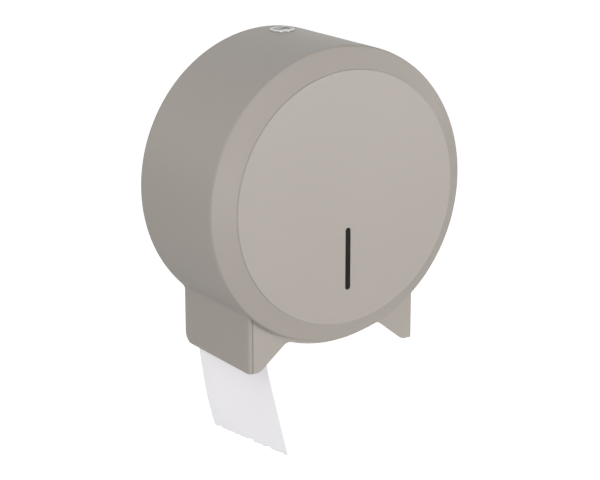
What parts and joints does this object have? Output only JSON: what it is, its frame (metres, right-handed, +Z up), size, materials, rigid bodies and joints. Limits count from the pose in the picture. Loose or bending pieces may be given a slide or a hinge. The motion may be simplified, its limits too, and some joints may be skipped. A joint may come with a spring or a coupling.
{
  "type": "jumbo toilet roll dispenser",
  "caption": "Wall-mounted round steel dispenser for a jumbo toilet roll, with a locking cover hinged at its foot, a level slot and a paper exit between two legs.",
  "frame": {"origin": "where the drum's axis meets the wall, in the plane of the back plate's rear face", "axes": "+Y points into the wall, +Z is up along the object's height, +X is to the right of a user who faces the dispenser"},
  "size_m": [0.24, 0.118, 0.3404],
  "materials": {
    "powder_coat": "matt warm-grey powder coat with a fine texture",
    "zinc_steel": "zinc-plated steel, dull",
    "spring_steel": "hardened spring steel, grey",
    "rivet_steel": "plain steel rivets",
    "stainless": "brushed stainless steel",
    "lock_chrome": "bright chrome plate",
    "smoked_plastic": "dark smoked clear plastic",
    "dark_plastic": "black moulded plastic",
    "roller_plastic": "off-white moulded nylon",
    "bush_plastic": "grey acetal",
    "cardboard": "spiral-wound grey-brown cardboard",
    "tissue": "soft white tissue paper"
  },
  "bodies": {
    "base": {"back_plate": "zinc_steel", "hinge_bracket_left": "zinc_steel", "hinge_bracket_right": "zinc_steel", "bracket_rivets": "rivet_steel", "lock_strike": "zinc_steel", "strike_rivets": "rivet_steel", "spindle_flange": "zinc_steel", "flange_rivets": "rivet_steel", "spindle_axle": "stainless", "axle_washer": "stainless", "axle_screw": "zinc_steel", "paper_tail": "tissue"},
    "cover": {"cover_front": "powder_coat", "cover_band": "powder_coat", "hinge_stud_left": "zinc_steel", "hinge_stud_right": "zinc_steel", "hinge_clips": "spring_steel", "tear_strip_left": "stainless", "tear_strip_right": "stainless", "level_window": "smoked_plastic", "window_frame": "dark_plastic", "window_studs": "zinc_steel", "window_nuts": "spring_steel", "lock_housing": "lock_chrome", "lock_washer": "spring_steel", "lock_nut": "zinc_steel"},
    "lock": {"lock_barrel": "lock_chrome", "lock_cam": "zinc_steel", "cam_screw": "zinc_steel"},
    "roller": {"core_roller": "roller_plastic", "roller_bush_rear": "bush_plastic", "roller_bush_front": "bush_plastic"},
    "roll": {"roll_core": "cardboard", "paper_roll": "tissue"}
  },
  "joints": [
    {"name": "cover_hinge", "type": "hinge", "parent": "base", "child": "cover", "pos_m": [0, -0.0095, -0.1275], "axis": [1, 0, 0], "range_deg": [0, 90], "deforming": ["paper_tail"]},
    {"name": "lock_turn", "type": "hinge", "parent": "cover", "child": "lock", "pos_m": [0, -0.025, 0.11], "axis": [0, 0, -1], "range_deg": [0, 90]},
    {"name": "roll_spin", "type": "hinge", "parent": "base", "child": "roll", "pos_m": [0, -0.05, 0], "axis": [0, 1, 0], "continuous": true},
    {"name": "roller_spin", "type": "hinge", "parent": "base", "child": "roller", "pos_m": [0, -0.05, 0.0097], "axis": [0, 1, 0], "continuous": true}
  ],
  "couplings": [
    {"joint": "roller_spin", "follows": "roll_spin", "ratio": 1.5}
  ]
}
